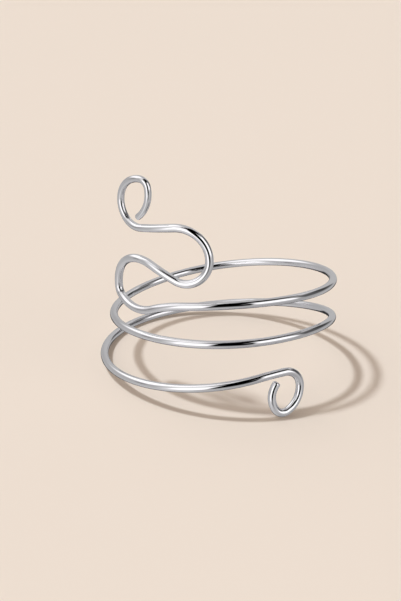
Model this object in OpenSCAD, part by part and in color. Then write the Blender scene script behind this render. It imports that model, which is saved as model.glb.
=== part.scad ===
// Upper arm cuff: one round wire, bent into an open coil of a little over two turns.
// Below, the wire ends in a curl that the cuff stands on. Above, it rises into an S-shaped swirl and ends in an eye.
// The wire lies on a sheet wrapped round the arm. A place on it is a turn angle (0 at the front, rising to the
// left, 360 for each turn) and a height. The finished wire is leant over until its curl and its coil both rest at z = 0.

/* [Wire] */
// Thickness of the wire along the coil
wire_d = 2.8; // [1.6:0.1:3.6]
// Rounding of the edge at both cut ends, as a share of the wire's radius
end_round = 0.6; // [0.2:0.1:0.9]

/* [Coil] */
// Mean clear width inside the coil
inner_d = 77.2; // [60:0.2:110]
// Height that the wire climbs in one turn
pitch = 14.2; // [8:0.2:24]

/* [Swirl and curl] */
// Mean bend radius of the S-shaped swirl
swirl_r = 10; // [7:0.5:13]
// Bend radius of the eye at the upper end
eye_r = 8; // [5.5:0.5:11]
// Bend radius of the curl at the lower end
curl_r = 8; // [5.5:0.5:11]

/* [Rest] */
// Way that the coil leans as it stands, in degrees from straight back towards the left
lean_way = 43; // [20:0.5:60]

/* [Fineness] */
// Sides of the wire's round section
sides = 12; // [8:1:12]
// Angle from ring to ring along the coil
coil_step = 5; // [3:0.5:8]
// Angle from ring to ring in the bends
bend_step = 8; // [5:1:12]

/* [Hidden] */

wire_r = wire_d / 2;
coil_r = (inner_d + wire_d) / 2;

// The coil, a row for each sixth of a turn: [radius as a share of coil_r, height as a share of pitch]
coil_rows = [
    [1.015, 1.20],
    [1.045, 0.55],
    [1.08, 0.02],
    [1.09, 0.17],
    [1.075, 0.47],
    [1.04, 0.42],
    [1.01, 0.51],
    [0.975, 0.91],
    [0.955, 1.01],
    [0.95, 1.30],
    [0.97, 1.31],
    [1.005, 1.58],
    [1.025, 1.67],
    [1.02, 1.76],
    [0.995, 2.11],
    [0.99, 1.99],
    [0.99, 2.06],
    [0.99, 2.06]
];
RADIUS = 0;
HEIGHT = 1;
row_turn = 60;
first_row_turn = -120;
// The coil's own stretch of those rows
coil_from = -15;
coil_to = 738;
// Radius of the sheet at the swirl and the curl, which turns lengths along it into angles
sheet_share = 0.99;
sheet_r = sheet_share * coil_r;

// Bends on the unrolled sheet, in the wire's own order away from the coil:
// [bend radius, or length where the turn is 0, as a share of the named radius; turn in degrees, upwards first;
// thickness at the end of the bend as a share of wire_d]
swirl_rows = [
    [4.40, -15.5, 1.00],
    [1.65, 55.5, 0.98],
    [0.37, 51.5, 0.98],
    [1.16, 119.5, 1.00],
    [1.03, 0, 1.00],
    [0.81, -115.5, 1.02],
    [1.08, -97, 1.00],
    [1.23, 0, 0.92]
];
eye_rows = [
    [1.02, 127, 0.84],
    [1.12, 60, 0.85],
    [0.41, 79, 0.85],
    [1.30, 65, 0.78]
];
curl_rows = [
    [6.80, -9.5, 1.00],
    [0.72, -91, 1.00],
    [1.13, -65, 1.00],
    [0.40, -81, 1.00],
    [0.98, -70.5, 1.00]
];
LENGTH = 0;
TURN = 1;
THICK = 2;

function unit(v) = v / norm(v);
function reversed(list) = [for (i = [len(list) - 1 : -1 : 0]) list[i]];
function scaled(rows, size) = [for (row = rows) [row[LENGTH] * size, row[TURN], row[THICK]]];

// Smooth value of one column of the coil's rows at a turn angle, as a cubic B-spline
function along_rows(column, turn) =
    let (x = (turn - first_row_turn) / row_turn, i = floor(x), f = x - i)
    (pow(1 - f, 3) * coil_rows[i - 1][column]
        + (3 * pow(f, 3) - 6 * pow(f, 2) + 4) * coil_rows[i][column]
        + (-3 * pow(f, 3) + 3 * pow(f, 2) + 3 * f + 1) * coil_rows[i + 1][column]
        + pow(f, 3) * coil_rows[i + 2][column]) / 6;
function radius_at(turn) = coil_r * along_rows(RADIUS, turn);
function height_at(turn) = pitch * along_rows(HEIGHT, turn);
// Slope of the coil on the unrolled sheet
function slope_at(turn) = atan2(height_at(turn + 1) - height_at(turn - 1), 2 * PI / 180 * sheet_r);

// Places along one bend: [distance along the sheet, height, thickness share]
function bend(place, slope, row) =
    let (
        size = row[LENGTH],
        turn = row[TURN],
        n = turn == 0 ? ceil(size / (2 * wire_r)) : ceil(abs(turn) / bend_step)
    )
    [for (k = [1 : n])
        let (
            share = k / n,
            to = slope + turn * share,
            side = sign(turn),
            thick = place[THICK] + (row[THICK] - place[THICK]) * share
        )
        turn == 0
            ? [place[0] + size * share * cos(slope), place[1] + size * share * sin(slope), thick]
            : [place[0] + side * size * (sin(to) - sin(slope)), place[1] - side * size * (cos(to) - cos(slope)), thick]
    ];
// Places along all the bends from one row on
function bends(place, slope, rows, i = 0) =
    i == len(rows) ? [] :
    let (part = bend(place, slope, rows[i]))
    concat(part, bends(part[len(part) - 1], slope + rows[i][TURN], rows, i + 1));

// The route: [turn angle, height, thickness share]
coil = [for (turn = [coil_from : coil_step : coil_to - coil_step / 2]) [turn, height_at(turn), 1]];
swirl = [for (p = bends([0, height_at(coil_to), 1], slope_at(coil_to),
        concat(scaled(swirl_rows, swirl_r), scaled(eye_rows, eye_r))))
    [coil_to + p[0] / sheet_r * 180 / PI, p[1], p[2]]];
curl = reversed([for (p = bends([0, height_at(coil_from), 1], -slope_at(coil_from), scaled(curl_rows, curl_r)))
    [coil_from - p[0] / sheet_r * 180 / PI, p[1], p[2]]]);
route = concat(curl, coil, [[coil_to, height_at(coil_to), 1]], swirl);
last = len(route) - 1;

function in_space(p) = let (r = radius_at(p[0])) [-r * sin(p[0]), -r * cos(p[0]), p[1]];
line = [for (p = route) in_space(p)];
ways = [for (i = [0 : last])
    unit((i < last ? unit(line[i + 1] - line[i]) : [0, 0, 0]) + (i > 0 ? unit(line[i] - line[i - 1]) : [0, 0, 0]))];

// One ring of the wire's surface, square to its way
function ring(centre, way, r) =
    let (out = [centre[0], centre[1], 0], side = unit(cross(way, out)), face = cross(side, way))
    [for (k = [0 : sides - 1]) centre + r * (cos(360 * k / sides) * face + sin(360 * k / sides) * side)];
// Rings that round off an end, from the body outwards
END_STEPS = 3;
function end_rings(centre, way, r) =
    [for (k = [1 : END_STEPS])
        let (a = 90 * k / END_STEPS, f = end_round * r)
        [centre + way * f * sin(a), r - f * (1 - cos(a))]];

first_r = wire_r * route[0][THICK];
last_r = wire_r * route[last][THICK];
upright_rings = concat(
    reversed([for (e = end_rings(line[0], -ways[0], first_r)) ring(e[0], ways[0], e[1])]),
    [for (i = [0 : last]) ring(line[i], ways[i], wire_r * route[i][THICK])],
    [for (e = end_rings(line[last], ways[last], last_r)) ring(e[0], ways[last], e[1])]
);

// Most that the cuff may lean, and the halvings that find the lean
most_lean = 40;
LEAN_TRIES = 20;
// The lean at which the curl's foot and the coil's lowest point are level
lean_to = [-sin(lean_way), cos(lean_way)];
function leant(p, a) =
    let (s = p[0] * lean_to[0] + p[1] * lean_to[1], shift = s * cos(a) + p[2] * sin(a) - s)
    [p[0] + shift * lean_to[0], p[1] + shift * lean_to[1], p[2] * cos(a) - s * sin(a)];
function lowest(points, a) = min([for (p = points) leant(p, a)[2]]);
foot_line = [for (i = [0 : len(curl) - 1]) line[i]];
coil_line = [for (i = [len(curl) : last]) line[i]];
function level_lean(low, high, tries) =
    let (a = (low + high) / 2)
    tries == 0 ? a :
    lowest(foot_line, a) < lowest(coil_line, a) ? level_lean(a, high, tries - 1) : level_lean(low, a, tries - 1);
lean = level_lean(0, most_lean, LEAN_TRIES);

// The rings as they stand, with the origin under the middle of the whole cuff
leant_rings = [for (r = upright_rings) [for (p = r) leant(p, lean)]];
all_points = [for (r = leant_rings) for (p = r) p];
low = [for (i = [0 : 2]) min([for (p = all_points) p[i]])];
high = [for (i = [0 : 2]) max([for (p = all_points) p[i]])];
origin = [(low[0] + high[0]) / 2, (low[1] + high[1]) / 2, low[2]];
surface = [for (p = all_points) p - origin];

// Faces of a tube of rings, closed at both ends
function tube_faces(rings) = concat(
    [[for (k = [0 : sides - 1]) k]],
    [for (i = [0 : rings - 2]) for (k = [0 : sides - 1])
        let (a = i * sides + k, b = i * sides + (k + 1) % sides)
        each [[a, a + sides, b + sides], [a, b + sides, b]]],
    [[for (k = [sides - 1 : -1 : 0]) (rings - 1) * sides + k]]
);

module cuff_wire() {
    color("silver")
        polyhedron(points = surface, faces = tube_faces(len(leant_rings)));
}

cuff_wire();
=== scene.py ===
"""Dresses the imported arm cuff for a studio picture.

The cuff is one round wire of polished silver. Its route is worked out as in the part's source, from the
same named sizes and short tables, with finer rings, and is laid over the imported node. A pale floor, soft
light and a camera at the photograph's angle make up the stage.
"""

import math
from collections import namedtuple

import bmesh
import bpy
from bpy.props import FloatProperty, FloatVectorProperty, IntProperty, PointerProperty
from bpy.types import Operator, Panel, PropertyGroup
from mathutils import Matrix, Vector


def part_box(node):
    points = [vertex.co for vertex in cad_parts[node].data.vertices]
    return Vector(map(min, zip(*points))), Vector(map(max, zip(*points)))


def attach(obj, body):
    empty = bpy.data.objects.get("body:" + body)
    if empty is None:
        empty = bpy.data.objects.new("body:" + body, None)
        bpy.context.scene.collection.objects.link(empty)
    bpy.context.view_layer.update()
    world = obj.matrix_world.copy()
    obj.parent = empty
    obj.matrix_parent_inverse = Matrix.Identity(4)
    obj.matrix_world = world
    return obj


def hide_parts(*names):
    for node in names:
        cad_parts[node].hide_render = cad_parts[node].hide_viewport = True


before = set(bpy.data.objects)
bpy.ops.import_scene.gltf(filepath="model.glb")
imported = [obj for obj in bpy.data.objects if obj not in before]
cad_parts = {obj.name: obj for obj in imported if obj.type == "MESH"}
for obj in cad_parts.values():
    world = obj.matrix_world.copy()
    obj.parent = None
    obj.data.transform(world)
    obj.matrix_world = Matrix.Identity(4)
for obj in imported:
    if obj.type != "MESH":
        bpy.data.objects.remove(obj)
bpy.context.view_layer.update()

bl_info = {
    "name": "Wire Arm Cuff",
    "version": (1, 0, 0),
    "blender": (4, 5, 0),
    "location": "3D View > Sidebar > Arm Cuff",
    "description": "Builds a bent wire arm cuff in polished silver, with its studio stage",
    "category": "Add Mesh",
}

NODE = "cuff_wire"
BODY = "root"
MM = 0.001

# The coil, a row for each sixth of a turn: shares of the coil's radius and of its pitch
CoilRow = namedtuple("CoilRow", "radius height")
COIL_ROWS = (
    CoilRow(1.015, 1.20),
    CoilRow(1.045, 0.55),
    CoilRow(1.08, 0.02),
    CoilRow(1.09, 0.17),
    CoilRow(1.075, 0.47),
    CoilRow(1.04, 0.42),
    CoilRow(1.01, 0.51),
    CoilRow(0.975, 0.91),
    CoilRow(0.955, 1.01),
    CoilRow(0.95, 1.30),
    CoilRow(0.97, 1.31),
    CoilRow(1.005, 1.58),
    CoilRow(1.025, 1.67),
    CoilRow(1.02, 1.76),
    CoilRow(0.995, 2.11),
    CoilRow(0.99, 1.99),
    CoilRow(0.99, 2.06),
    CoilRow(0.99, 2.06),
)
ROW_TURN = 60
FIRST_ROW_TURN = -120
# The coil's own stretch of those rows, in degrees round the arm
COIL_FROM = -15
COIL_TO = 738
# Radius of the sheet that the swirl and the curl lie on, as a share of the coil's radius
SHEET_SHARE = 0.99

# Bends on the unrolled sheet, away from the coil: radius, or length where the turn is 0, as a share of the
# named radius; turn in degrees, upwards first; thickness at the bend's end as a share of the wire's
Bend = namedtuple("Bend", "length turn thick")
SWIRL_BENDS = (
    Bend(4.40, -15.5, 1.00),
    Bend(1.65, 55.5, 0.98),
    Bend(0.37, 51.5, 0.98),
    Bend(1.16, 119.5, 1.00),
    Bend(1.03, 0, 1.00),
    Bend(0.81, -115.5, 1.02),
    Bend(1.08, -97, 1.00),
    Bend(1.23, 0, 0.92),
)
EYE_BENDS = (
    Bend(1.02, 127, 0.84),
    Bend(1.12, 60, 0.85),
    Bend(0.41, 79, 0.85),
    Bend(1.30, 65, 0.78),
)
CURL_BENDS = (
    Bend(6.80, -9.5, 1.00),
    Bend(0.72, -91, 1.00),
    Bend(1.13, -65, 1.00),
    Bend(0.40, -81, 1.00),
    Bend(0.98, -70.5, 1.00),
)

# Length from ring to ring along a straight, as a share of the wire's thickness
STRAIGHT_STEP = 0.25

# A place on the sheet, and a ring of the wire's surface
Place = namedtuple("Place", "turn height thick")
Ring = namedtuple("Ring", "centre side face way radius along cut")


class CuffWireSettings(PropertyGroup):
    """Sizes of the bent wire."""

    wire_width: FloatProperty(
        name="Wire",
        description="Thickness of the wire along the coil",
        default=2.8 * MM,
        unit="LENGTH",
    )
    end_round: FloatProperty(
        name="End rounding",
        description="Rounding of the edge at both cut ends, as a share of the wire's radius",
        default=0.6,
        subtype="FACTOR",
    )
    clear_width: FloatProperty(
        name="Clear width",
        description="Mean clear width inside the coil",
        default=77.2 * MM,
        unit="LENGTH",
    )
    pitch: FloatProperty(
        name="Pitch",
        description="Height that the wire climbs in one turn",
        default=14.2 * MM,
        unit="LENGTH",
    )
    swirl_radius: FloatProperty(
        name="Swirl radius",
        description="Mean bend radius of the S-shaped swirl",
        default=10 * MM,
        unit="LENGTH",
    )
    eye_radius: FloatProperty(
        name="Eye radius",
        description="Bend radius of the eye at the upper end",
        default=8 * MM,
        unit="LENGTH",
    )
    curl_radius: FloatProperty(
        name="Curl radius",
        description="Bend radius of the curl at the lower end",
        default=8 * MM,
        unit="LENGTH",
    )
    lean_way: FloatProperty(
        name="Way of the lean",
        description="Way that the coil leans as it stands, from straight back towards the left",
        default=math.radians(43),
        unit="ROTATION",
    )
    ring_sides: IntProperty(
        name="Ring sides",
        description="Sides of the wire's round section",
        default=32,
        min=8,
        max=64,
    )
    turn_step: FloatProperty(
        name="Turn step",
        description="Angle from ring to ring, in degrees",
        default=1.5,
        min=0.5,
        max=8,
    )


class CuffSilverSettings(PropertyGroup):
    """Colour and finish of the silver."""

    bright: FloatVectorProperty(
        name="Silver",
        description="Colour of the clean polished metal",
        default=(0.905, 0.89, 0.91),
        subtype="COLOR",
        min=0,
        max=1,
    )
    dull: FloatVectorProperty(
        name="Dulled silver",
        description="Colour where the polish has dulled a little",
        default=(0.80, 0.78, 0.805),
        subtype="COLOR",
        min=0,
        max=1,
    )
    gloss_low: FloatProperty(
        name="Roughness, polished",
        description="Roughness of the best polished places",
        default=0.03,
        subtype="FACTOR",
    )
    gloss_high: FloatProperty(
        name="Roughness, handled",
        description="Roughness of the dulled places",
        default=0.10,
        subtype="FACTOR",
    )


class CuffStageSettings(PropertyGroup):
    """Floor, light and camera."""

    floor_colour: FloatVectorProperty(
        name="Floor",
        description="Colour of the plain floor",
        default=(0.90, 0.72, 0.58),
        subtype="COLOR",
        min=0,
        max=1,
    )
    floor_width: FloatProperty(
        name="Floor width",
        description="Width of the floor",
        default=12,
        unit="LENGTH",
    )
    key_power: FloatProperty(
        name="Key light",
        description="Strength of the far soft light on the left",
        default=1.9,
    )
    key_colour: FloatVectorProperty(
        name="Key colour",
        description="Colour of the far soft light",
        default=(0.72, 0.86, 1.0),
        subtype="COLOR",
        min=0,
        max=1,
    )
    key_azimuth: FloatProperty(
        name="Key azimuth",
        description="Turn of the far light from the front to the right",
        default=math.radians(-97),
        unit="ROTATION",
    )
    key_elevation: FloatProperty(
        name="Key elevation",
        description="Height of the far light above the floor",
        default=math.radians(61),
        unit="ROTATION",
    )
    key_width: FloatProperty(
        name="Key width",
        description="Width of the far light as seen from the cuff",
        default=math.radians(5),
        unit="ROTATION",
    )
    world_power: FloatProperty(
        name="Studio",
        description="Strength of the studio's surrounding light",
        default=1.0,
    )
    camera_place: FloatVectorProperty(
        name="Camera",
        description="Place of the camera",
        default=(-18.9 * MM, -466.34 * MM, 234.56 * MM),
        subtype="TRANSLATION",
        unit="LENGTH",
    )
    camera_turn: FloatProperty(
        name="Camera turn",
        description="Turn of the camera from straight at the back, to the left",
        default=math.radians(-1.458),
        unit="ROTATION",
    )
    camera_pitch: FloatProperty(
        name="Camera pitch",
        description="Angle that the camera looks down by",
        default=math.radians(24.316),
        unit="ROTATION",
    )
    camera_roll: FloatProperty(
        name="Camera roll",
        description="Turn of the camera about its own line of sight",
        default=math.radians(3.123),
        unit="ROTATION",
    )
    camera_focal: FloatProperty(
        name="Focal length",
        description="Focal length in picture heights",
        default=2.382,
    )


# Route of the wire


def scaled(bends, size):
    """The bends with their lengths in metres."""
    return [Bend(bend.length * size, bend.turn, bend.thick) for bend in bends]


def coil_radius(wire):
    return (wire.clear_width + wire.wire_width) / 2


def sheet_radius(wire):
    return SHEET_SHARE * coil_radius(wire)


def along_rows(column, turn):
    """Smooth value of one column of the coil's rows at a turn angle, as a cubic B-spline."""
    x = (turn - FIRST_ROW_TURN) / ROW_TURN
    i = math.floor(x)
    f = x - i
    before, start, end, after = (getattr(COIL_ROWS[i + k], column) for k in (-1, 0, 1, 2))
    return (
        (1 - f) ** 3 * before
        + (3 * f**3 - 6 * f**2 + 4) * start
        + (-3 * f**3 + 3 * f**2 + 3 * f + 1) * end
        + f**3 * after
    ) / 6


def radius_at(wire, turn):
    return coil_radius(wire) * along_rows("radius", turn)


def height_at(wire, turn):
    return wire.pitch * along_rows("height", turn)


def slope_at(wire, turn):
    """Slope of the coil on the unrolled sheet, in radians."""
    rise = height_at(wire, turn + 1) - height_at(wire, turn - 1)
    return math.atan2(rise, math.radians(2) * sheet_radius(wire))


def bend_places(wire, start_height, slope, bends):
    """Places along the bends: distance along the sheet, height and thickness share."""
    x, y, thick = 0.0, start_height, 1.0
    places = []
    for bend in bends:
        if bend.turn == 0:
            steps = math.ceil(bend.length / (wire.wire_width * STRAIGHT_STEP))
        else:
            steps = math.ceil(abs(bend.turn) / wire.turn_step)
        side = math.copysign(1, bend.turn)
        turn = math.radians(bend.turn)
        for k in range(1, steps + 1):
            share = k / steps
            to = slope + turn * share
            if bend.turn == 0:
                across = bend.length * share * math.cos(slope)
                up = bend.length * share * math.sin(slope)
            else:
                across = side * bend.length * (math.sin(to) - math.sin(slope))
                up = -side * bend.length * (math.cos(to) - math.cos(slope))
            places.append((x + across, y + up, thick + (bend.thick - thick) * share))
        x, y, thick = places[-1]
        slope += turn
    return places


def wire_route(wire):
    """The whole route from the curl's end to the eye's end, and how many of its places are the curl's."""
    swirl = [
        Place(COIL_TO + math.degrees(x / sheet_radius(wire)), y, thick)
        for x, y, thick in bend_places(
            wire,
            height_at(wire, COIL_TO),
            slope_at(wire, COIL_TO),
            scaled(SWIRL_BENDS, wire.swirl_radius) + scaled(EYE_BENDS, wire.eye_radius),
        )
    ]
    curl = [
        Place(COIL_FROM - math.degrees(x / sheet_radius(wire)), y, thick)
        for x, y, thick in bend_places(
            wire,
            height_at(wire, COIL_FROM),
            -slope_at(wire, COIL_FROM),
            scaled(CURL_BENDS, wire.curl_radius),
        )
    ]
    steps = math.ceil((COIL_TO - COIL_FROM) / wire.turn_step)
    turns = [COIL_FROM + (COIL_TO - COIL_FROM) * k / steps for k in range(steps + 1)]
    coil = [Place(turn, height_at(wire, turn), 1.0) for turn in turns]
    return curl[::-1] + coil + swirl, len(curl)


def in_space(wire, place):
    """The point round the arm where a place on the sheet lies, before the lean."""
    radius = radius_at(wire, place.turn)
    angle = math.radians(place.turn)
    return Vector((-radius * math.sin(angle), -radius * math.cos(angle), place.height))


def ring_at(centre, way, radius, along, cut):
    """A ring square to the wire's way, its face turned out from the arm."""
    side = way.cross(Vector((centre.x, centre.y, 0))).normalized()
    return Ring(centre, side, side.cross(way).normalized(), way, radius, along, cut)


# Rings that round off each end
END_STEPS = 8


def end_rings(wire, ring, outwards):
    """Rings that round off an end, from the body outwards."""
    depth = wire.end_round * ring.radius
    rings = []
    for k in range(1, END_STEPS + 1):
        angle = math.pi / 2 * k / END_STEPS
        step = outwards * depth * math.sin(angle)
        radius = ring.radius - depth * (1 - math.cos(angle))
        cut = k / END_STEPS
        rings.append(ring_at(ring.centre + ring.way * step, ring.way, radius, ring.along + step, cut))
    return rings


def upright_rings(wire):
    """The wire's rings before it leans, and how many of them are the curl's."""
    route, curl_count = wire_route(wire)
    line = [in_space(wire, place) for place in route]
    last = len(line) - 1
    rings = []
    along = 0.0
    for i, (place, centre) in enumerate(zip(route, line)):
        ahead = (line[i + 1] - centre).normalized() if i < last else Vector()
        behind = (centre - line[i - 1]).normalized() if i > 0 else Vector()
        along += (centre - line[i - 1]).length if i > 0 else 0
        radius = wire.wire_width / 2 * place.thick
        rings.append(ring_at(centre, (ahead + behind).normalized(), radius, along, 0.0))
    lower_end = end_rings(wire, rings[0], -1)
    upper_end = end_rings(wire, rings[-1], 1)
    return lower_end[::-1] + rings + upper_end, END_STEPS + curl_count


# Stance


def lean_matrix(wire, angle):
    """Leans the coil's axis over by that angle, towards the named way."""
    axis = Matrix.Rotation(wire.lean_way, 3, "Z") @ Vector((-1, 0, 0))
    return Matrix.Rotation(angle, 4, axis)


def lowest_point(rings, turned):
    """Lowest height of the rings once they are turned."""
    upwards = turned.to_3x3().transposed() @ Vector((0, 0, 1))

    def lowest_of(ring):
        reach = math.sqrt(max(0, 1 - ring.way.dot(upwards) ** 2))
        return ring.centre.dot(upwards) - ring.radius * reach

    return min(lowest_of(ring) for ring in rings)


# Most that the cuff may lean, and the halvings that find the lean
MOST_LEAN = math.radians(40)
LEAN_TRIES = 24


def level_lean(wire, rings, curl_count):
    """The lean at which the curl's foot and the coil's lowest point are level."""
    low, high = 0.0, MOST_LEAN
    for _ in range(LEAN_TRIES):
        angle = (low + high) / 2
        turned = lean_matrix(wire, angle)
        if lowest_point(rings[:curl_count], turned) < lowest_point(rings[curl_count:], turned):
            low = angle
        else:
            high = angle
    return lean_matrix(wire, (low + high) / 2)


# Mesh of the wire


def ring_matrix(ring):
    """Takes a unit ring in the XY plane to the ring's place."""
    columns = (ring.face * ring.radius, ring.side * ring.radius, -ring.way * ring.radius, ring.centre)
    return Matrix([[column[row] for column in columns] for row in range(3)] + [[0, 0, 0, 1]])


def mark_ring(verts, ring, place_layer, cut_layer):
    """Keeps where each point lies on the straight wire, for the finish to read."""
    for vert in verts:
        out = vert.co - ring.centre
        vert[place_layer] = (ring.along, out.dot(ring.side), out.dot(ring.face))
        vert[cut_layer] = ring.cut


def wire_mesh(rings, sides):
    """A closed tube through the rings, extruded ring by ring."""
    bm = bmesh.new()
    place_layer = bm.verts.layers.float_vector.new("wire_place")
    cut_layer = bm.verts.layers.float.new("cut_face")
    made = bmesh.ops.create_circle(bm, cap_ends=True, segments=sides, radius=1)
    bmesh.ops.transform(bm, matrix=ring_matrix(rings[0]), verts=made["verts"])
    mark_ring(made["verts"], rings[0], place_layer, cut_layer)
    edges = bm.edges[:]
    for before, ring in zip(rings, rings[1:]):
        made = bmesh.ops.extrude_edge_only(bm, edges=edges)["geom"]
        verts = [item for item in made if isinstance(item, bmesh.types.BMVert)]
        edges = [item for item in made if isinstance(item, bmesh.types.BMEdge) and item.is_boundary]
        step = ring_matrix(ring) @ ring_matrix(before).inverted()
        bmesh.ops.transform(bm, matrix=step, verts=verts)
        mark_ring(verts, ring, place_layer, cut_layer)
    bmesh.ops.contextual_create(bm, geom=edges)
    bmesh.ops.recalc_face_normals(bm, faces=bm.faces[:])
    for face in bm.faces:
        face.smooth = True
    return bm


def seat_on_node(bm):
    """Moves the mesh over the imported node: the same middle, standing on the same height."""
    node_low, node_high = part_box(NODE)
    low = Vector(min(vert.co[k] for vert in bm.verts) for k in range(3))
    high = Vector(max(vert.co[k] for vert in bm.verts) for k in range(3))
    shift = (node_low + node_high - low - high) / 2
    shift.z = node_low.z - low.z
    bmesh.ops.translate(bm, vec=shift, verts=bm.verts[:])


# Shader helpers


def add_node(tree, kind, at, **settings):
    """A new node with its settings."""
    node = tree.nodes.new(kind)
    node.location = at
    for name, value in settings.items():
        setattr(node, name, value)
    return node


def feed(tree, slot, value):
    """Gives a node's input a plain number, or the socket that it takes its value from."""
    if isinstance(value, (int, float)):
        slot.default_value = value
    else:
        tree.links.new(value, slot)


def math_node(tree, operation, at, *inputs):
    """A math node whose inputs are sockets or numbers."""
    node = add_node(tree, "ShaderNodeMath", at, operation=operation)
    for slot, value in zip(node.inputs, inputs):
        feed(tree, slot, value)
    return node.outputs[0]


def map_range(tree, value, at, low, high, to_low, to_high, smooth=True):
    """A value carried from one range to another, held at its ends."""
    kind = "SMOOTHSTEP" if smooth else "LINEAR"
    node = add_node(tree, "ShaderNodeMapRange", at, interpolation_type=kind)
    names = ("Value", "From Min", "From Max", "To Min", "To Max")
    for name, given in zip(names, (value, low, high, to_low, to_high)):
        feed(tree, node.inputs[name], given)
    return node.outputs["Result"]


def grain_noise(tree, place, at, grain):
    """Noise on the straight wire, its grains stretched along it or across it."""
    mapping = add_node(tree, "ShaderNodeMapping", at)
    mapping.inputs["Scale"].default_value = grain.stretch
    tree.links.new(place, mapping.inputs["Vector"])
    noise = add_node(tree, "ShaderNodeTexNoise", (at[0] + 200, at[1]))
    noise.inputs["Scale"].default_value = grain.scale
    noise.inputs["Detail"].default_value = grain.detail
    tree.links.new(mapping.outputs["Vector"], noise.inputs["Vector"])
    return noise.outputs["Fac"]


# Noises of the silver: the stretch of their grains along, beside and out from the wire, scale and detail
Grain = namedtuple("Grain", "stretch scale detail")
# Patches a few centimetres long where the polish has dulled, and finer cloudiness in them
PATCHES = Grain((0.35, 1, 1), 90, 3)
CLOUDS = Grain((1, 1, 1), 900, 4)
# Hairline marks left by the drawing die, long along the wire and thin across it
HAIRLINES = Grain((0.02, 1, 1), 6000, 2)
# Slow unevenness of the hand-bent wire
WAVES = Grain((0.6, 0.3, 0.3), 160, 1)

# Levels of noise between which a patch and a hairline set in, and how far the clouds dull a patch
PATCH_FROM, PATCH_TO = 0.45, 0.68
HAIRLINE_FROM, HAIRLINE_TO = 0.58, 0.75
CLOUD_WEAR = 0.8
# Roughness added by the hairlines and on the filed cut ends
HAIRLINE_ROUGHNESS = 0.05
FILED_ROUGHNESS = 0.12
# Relief of the hairlines and of the waves, as shares of the relief's depth, and how strongly it shades
HAIRLINE_RELIEF = -0.002
WAVE_RELIEF = 0.06
RELIEF_DEPTH = 0.2 * MM
RELIEF_STRENGTH = 0.35


def silver_material(silver):
    """Polished silver: faint drawing lines along the wire, dulled patches, and filed cut ends."""
    material = bpy.data.materials.new("polished_silver")
    material.use_nodes = True
    tree = material.node_tree
    shader = tree.nodes["Principled BSDF"]
    shader.inputs["Metallic"].default_value = 1.0
    straight = add_node(tree, "ShaderNodeAttribute", (-1400, 200), attribute_name="wire_place")
    place = straight.outputs["Vector"]
    cut_face = add_node(tree, "ShaderNodeAttribute", (-1400, -300), attribute_name="cut_face")
    cut = cut_face.outputs["Fac"]

    patches = grain_noise(tree, place, (-1100, 400), PATCHES)
    clouds = grain_noise(tree, place, (-1100, 150), CLOUDS)
    lines = grain_noise(tree, place, (-1100, -100), HAIRLINES)
    waves = grain_noise(tree, place, (-1100, -350), WAVES)

    dulled = map_range(tree, patches, (-650, 400), PATCH_FROM, PATCH_TO, 0.0, 1.0)
    cloudy = math_node(tree, "MULTIPLY", (-650, 150), clouds, dulled)
    hairline = map_range(tree, lines, (-650, -100), HAIRLINE_FROM, HAIRLINE_TO, 0.0, 1.0)
    wear = math_node(tree, "MULTIPLY", (-450, 250), cloudy, CLOUD_WEAR)
    worn = math_node(tree, "MAXIMUM", (-300, 250), wear, cut)

    colour = add_node(tree, "ShaderNodeMix", (-150, 350), data_type="RGBA")
    colour.inputs["A"].default_value = (*silver.bright, 1)
    colour.inputs["B"].default_value = (*silver.dull, 1)
    tree.links.new(worn, colour.inputs["Factor"])
    tree.links.new(colour.outputs["Result"], shader.inputs["Base Color"])

    low, high = silver.gloss_low, silver.gloss_high
    rough = map_range(tree, worn, (-150, 50), 0.0, 1.0, low, high, smooth=False)
    marked = math_node(tree, "MULTIPLY_ADD", (50, 50), hairline, HAIRLINE_ROUGHNESS, rough)
    filed = math_node(tree, "MULTIPLY_ADD", (200, 50), cut, FILED_ROUGHNESS, marked)
    tree.links.new(filed, shader.inputs["Roughness"])

    scratched = math_node(tree, "MULTIPLY", (-350, -200), hairline, HAIRLINE_RELIEF)
    uneven = math_node(tree, "MULTIPLY", (-350, -350), waves, WAVE_RELIEF)
    relief = add_node(tree, "ShaderNodeBump", (50, -250))
    relief.inputs["Strength"].default_value = RELIEF_STRENGTH
    relief.inputs["Distance"].default_value = RELIEF_DEPTH
    tree.links.new(math_node(tree, "ADD", (-150, -250), scratched, uneven), relief.inputs["Height"])
    tree.links.new(relief.outputs["Normal"], shader.inputs["Normal"])
    return material


# Roughness and faint shine of the floor
FLOOR_ROUGHNESS = 0.9
FLOOR_SHINE = 0.1


def floor_material(stage):
    """Plain pale floor, matt."""
    material = bpy.data.materials.new("pale_floor")
    material.use_nodes = True
    tree = material.node_tree
    shader = tree.nodes["Principled BSDF"]
    shader.inputs["Base Color"].default_value = (*stage.floor_colour, 1)
    shader.inputs["Roughness"].default_value = FLOOR_ROUGHNESS
    shader.inputs["Specular IOR Level"].default_value = FLOOR_SHINE
    return material


# Studio surroundings: cards of light and dark hung round the cuff, each over those before it

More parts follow.
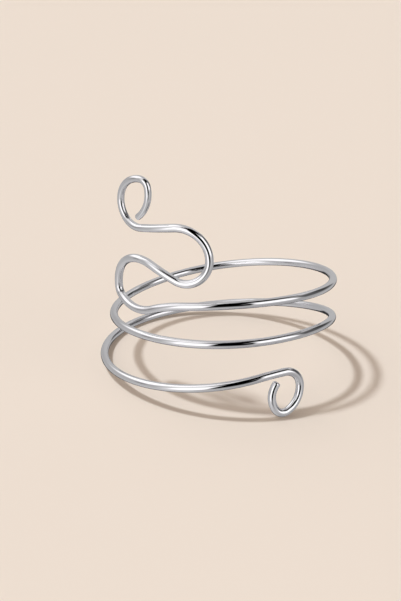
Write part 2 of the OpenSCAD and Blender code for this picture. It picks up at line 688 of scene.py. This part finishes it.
# Azimuth is 0 in front, on the camera's side, and rises to the right. Side and fade are the widths of the
# soft edges, beside the card and above and below it. All of these are in degrees.
StudioCard = namedtuple("StudioCard", "azimuth elevation half_width half_height side fade level")
STUDIO_CARDS = (
    # Lower walls: paler on the left, dim on the right, and dark low behind
    StudioCard(-71, -65, 40, 27, 35, 35, 0.56),
    StudioCard(69, -42, 44, 52, 50, 17, 0.38),
    StudioCard(-117, 6, 53, 11, 24, 16, 0.43),
    StudioCard(180, -44, 34, 24, 12, 12, 0.03),
    # Soft lights overhead on the left, with a gap between them
    StudioCard(-51, 67, 41, 33, 9, 18, 0.82),
    StudioCard(-113, 50, 36, 27, 22, 18, 1.2),
    StudioCard(-20, 59, 15, 11, 10, 4, 0.11),
    # Tall light in front on the left, and its glow below
    StudioCard(-40, -3, 18, 38, 16, 41, 0.76),
    StudioCard(-32, 8, 18, 25, 8, 8, 1.25),
    # Dim right side, its lighter gap and its dark corners
    StudioCard(139, 37, 13, 8, 5, 5, 0.92),
    StudioCard(126, 58, 13, 15, 5, 5, 0.19),
    StudioCard(115, 18, 29, 20, 8, 21, 0.1),
    StudioCard(94, 66, 21, 21, 12, 18, 0.01),
    StudioCard(126, 20, 7, 10, 5, 13, 0.05),
    # Light in front on the right, and its glow below
    StudioCard(50, 4, 25, 19, 14, 52, 0.62),
    StudioCard(57, 24, 23, 21, 7, 9, 1.25),
    # Narrow dark upright on the left, and a dim step below the opening
    StudioCard(-82, 3, 6, 9, 4, 7, 0.26),
    StudioCard(7, -4, 19, 17, 12, 8, 0.22),
    # Dark ceiling, and the black opening in front with a faint light in it
    StudioCard(27, 67, 50, 15, 6, 5, 0.0),
    StudioCard(9, 31, 21, 39, 5, 11, 0.0),
    StudioCard(25, 31, 5, 7, 7, 4, 0.15),
)
# Level of the studio below and above the horizon, and the angle over which it changes on either side
LOWER_LEVEL = 0.47
UPPER_LEVEL = 0.51
HORIZON_EDGE = 20
# Colour of the plain backdrop that the camera sees
BACKDROP = (0.84, 0.72, 0.62)
# Inputs of the card group: what hangs behind, the direction seen, and then a card's own values in order
SEEN = ("Behind", "Azimuth", "Elevation")
CARD_INPUTS = ("Centre Azimuth", "Centre Elevation", "Half Width", "Half Height", "Side", "Fade", "Level")
# Where the card nodes stand in the editor
CARDS_START = -1200
CARD_STEP = 200


def held_share(tree, off, half, edge, at):
    """1 where an offset is within half, falling to 0 over the edge; all may be sockets."""
    size = math_node(tree, "ABSOLUTE", at, off)
    inner = math_node(tree, "MULTIPLY_ADD", (at[0], at[1] - 150), edge, -0.5, half)
    outer = math_node(tree, "MULTIPLY_ADD", (at[0], at[1] - 300), edge, 0.5, half)
    return map_range(tree, size, (at[0] + 200, at[1]), inner, outer, 1.0, 0.0)


def card_group():
    """Lays one card over what hangs behind it, seen in a given direction."""
    group = bpy.data.node_groups.new("studio_card", "ShaderNodeTree")
    for name in (*SEEN, *CARD_INPUTS):
        group.interface.new_socket(name, in_out="INPUT", socket_type="NodeSocketFloat")
    group.interface.new_socket("Level", in_out="OUTPUT", socket_type="NodeSocketFloat")
    put = add_node(group, "NodeGroupInput", (-1200, 0)).outputs
    across = math_node(group, "SUBTRACT", (-950, 200), put["Azimuth"], put["Centre Azimuth"])
    across = math_node(group, "WRAP", (-750, 200), across, 180, -180)
    up = math_node(group, "SUBTRACT", (-750, -200), put["Elevation"], put["Centre Elevation"])
    wide = held_share(group, across, put["Half Width"], put["Side"], (-450, 200))
    high = held_share(group, up, put["Half Height"], put["Fade"], (-450, -300))
    share = math_node(group, "MULTIPLY", (300, 0), wide, high)
    step = math_node(group, "SUBTRACT", (300, -200), put["Level"], put["Behind"])
    level = math_node(group, "MULTIPLY_ADD", (500, 0), step, share, put["Behind"])
    result = add_node(group, "NodeGroupOutput", (700, 0))
    group.links.new(level, result.inputs["Level"])
    return group


def studio_world(stage):
    """A grey studio with its cards; the camera sees a plain backdrop in their place."""
    world = bpy.data.worlds.new("studio")
    world.use_nodes = True
    tree = world.node_tree
    background = tree.nodes["Background"]
    direction = add_node(tree, "ShaderNodeTexCoord", (-2400, 0))
    split = add_node(tree, "ShaderNodeSeparateXYZ", (-2200, 0))
    tree.links.new(direction.outputs["Generated"], split.inputs["Vector"])
    x, y, z = split.outputs
    behind = math_node(tree, "MULTIPLY", (-2000, -100), y, -1)
    azimuth = math_node(tree, "ARCTAN2", (-1800, 100), x, behind)
    azimuth = math_node(tree, "DEGREES", (-1600, 100), azimuth)
    elevation = math_node(tree, "ARCSINE", (-1800, -200), z)
    elevation = math_node(tree, "DEGREES", (-1600, -200), elevation)
    horizon = (-HORIZON_EDGE, HORIZON_EDGE, LOWER_LEVEL, UPPER_LEVEL)
    level = map_range(tree, elevation, (-1400, 400), *horizon)
    group = card_group()
    at = CARDS_START
    for card in STUDIO_CARDS:
        node = add_node(tree, "ShaderNodeGroup", (at, 0), node_tree=group)
        for name, value in zip(CARD_INPUTS, card):
            node.inputs[name].default_value = value
        for name, socket in zip(SEEN, (level, azimuth, elevation)):
            tree.links.new(socket, node.inputs[name])
        level = node.outputs["Level"]
        at += CARD_STEP
    level = math_node(tree, "MULTIPLY", (at, 0), level, stage.world_power)
    sight = add_node(tree, "ShaderNodeLightPath", (at, 300))
    colour = add_node(tree, "ShaderNodeMix", (at + CARD_STEP, 0), data_type="RGBA")
    tree.links.new(sight.outputs["Is Camera Ray"], colour.inputs["Factor"])
    tree.links.new(level, colour.inputs["A"])
    colour.inputs["B"].default_value = (*BACKDROP, 1)
    tree.links.new(colour.outputs["Result"], background.inputs["Color"])
    return world


# Objects


def new_object(name, bm, material):
    """An object at the origin from a finished bmesh, in the scene."""
    mesh = bpy.data.meshes.new(name)
    bm.to_mesh(mesh)
    bm.free()
    mesh.materials.append(material)
    made = bpy.data.objects.new(name, mesh)
    bpy.context.scene.collection.objects.link(made)
    return made


# How far off the key light's marker hangs, in metres
KEY_DISTANCE = 2
# Width of the camera's film in millimetres, and the nearest that the camera sees in metres
FILM_WIDTH = 36
NEAREST = 0.01


def from_middle(azimuth, elevation, distance):
    """A place round the cuff, by azimuth from the front to the right, elevation and distance."""
    flat = math.cos(elevation)
    way = Vector((math.sin(azimuth) * flat, -math.cos(azimuth) * flat, math.sin(elevation)))
    return way * distance


def key_light(stage):
    """A far soft light from the left that casts the shadows; the silver doesn't mirror it."""
    light = bpy.data.lights.new("key_light", "SUN")
    light.energy = stage.key_power
    light.color = stage.key_colour
    light.angle = stage.key_width
    lamp = bpy.data.objects.new("key_light", light)
    lamp.location = from_middle(stage.key_azimuth, stage.key_elevation, KEY_DISTANCE)
    lamp.rotation_mode = "QUATERNION"
    lamp.rotation_quaternion = lamp.location.to_track_quat("Z", "Y")
    lamp.visible_glossy = False
    bpy.context.scene.collection.objects.link(lamp)


def studio_camera(stage):
    """The camera, at the photograph's angle."""
    lens = bpy.data.cameras.new("camera")
    lens.sensor_width = FILM_WIDTH
    lens.lens = stage.camera_focal * FILM_WIDTH
    lens.clip_start = NEAREST
    camera = bpy.data.objects.new("camera", lens)
    camera.location = stage.camera_place
    camera.rotation_mode = "QUATERNION"
    turned = (
        Matrix.Rotation(stage.camera_turn, 3, "Z")
        @ Matrix.Rotation(math.pi / 2 - stage.camera_pitch, 3, "X")
        @ Matrix.Rotation(stage.camera_roll, 3, "Z")
    )
    camera.rotation_quaternion = turned.to_quaternion()
    bpy.context.scene.collection.objects.link(camera)
    bpy.context.scene.camera = camera


class CUFF_OT_wire(Operator):
    """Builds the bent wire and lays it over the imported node"""

    bl_idname = "cuff.wire"
    bl_label = "Build Wire"

    def execute(self, context):
        wire = context.scene.cuff_wire
        rings, curl_count = upright_rings(wire)
        bm = wire_mesh(rings, wire.ring_sides)
        bmesh.ops.transform(bm, matrix=level_lean(wire, rings, curl_count), verts=bm.verts[:])
        seat_on_node(bm)
        piece = new_object("cuff_wire_polished", bm, silver_material(context.scene.cuff_silver))
        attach(piece, BODY)
        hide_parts(NODE)
        return {"FINISHED"}


class CUFF_OT_stage(Operator):
    """Builds the floor, the light and the camera"""

    bl_idname = "cuff.stage"
    bl_label = "Build Stage"

    def execute(self, context):
        stage = context.scene.cuff_stage
        bm = bmesh.new()
        bmesh.ops.create_grid(bm, x_segments=1, y_segments=1, size=stage.floor_width / 2)
        floor = new_object("floor", bm, floor_material(stage))
        # The silver mirrors the studio's cards in place of the floor
        floor.visible_glossy = False
        context.scene.world = studio_world(stage)
        key_light(stage)
        context.scene.view_settings.view_transform = "Standard"
        studio_camera(stage)
        return {"FINISHED"}


class CUFF_PT_sidebar(Panel):
    """Sizes, finish and stage of the cuff."""

    bl_idname = "CUFF_PT_sidebar"
    bl_label = "Arm Cuff"
    bl_space_type = "VIEW_3D"
    bl_region_type = "UI"
    bl_category = "Arm Cuff"

    def draw(self, context):
        scene = context.scene
        for group, operator in (
            (scene.cuff_wire, CUFF_OT_wire.bl_idname),
            (scene.cuff_silver, None),
            (scene.cuff_stage, CUFF_OT_stage.bl_idname),
        ):
            box = self.layout.box()
            for name in group.__annotations__:
                box.prop(group, name)
            if operator:
                box.operator(operator)


CLASSES = (
    CuffWireSettings,
    CuffSilverSettings,
    CuffStageSettings,
    CUFF_OT_wire,
    CUFF_OT_stage,
    CUFF_PT_sidebar,
)
GROUPS = {
    "cuff_wire": CuffWireSettings,
    "cuff_silver": CuffSilverSettings,
    "cuff_stage": CuffStageSettings,
}


def register():
    for cls in CLASSES:
        bpy.utils.register_class(cls)
    for name, group in GROUPS.items():
        setattr(bpy.types.Scene, name, PointerProperty(type=group))


def unregister():
    for name in GROUPS:
        delattr(bpy.types.Scene, name)
    for cls in reversed(CLASSES):
        bpy.utils.unregister_class(cls)


def main():
    register()
    bpy.ops.cuff.wire()
    bpy.ops.cuff.stage()


if __name__ == "__main__":
    main()
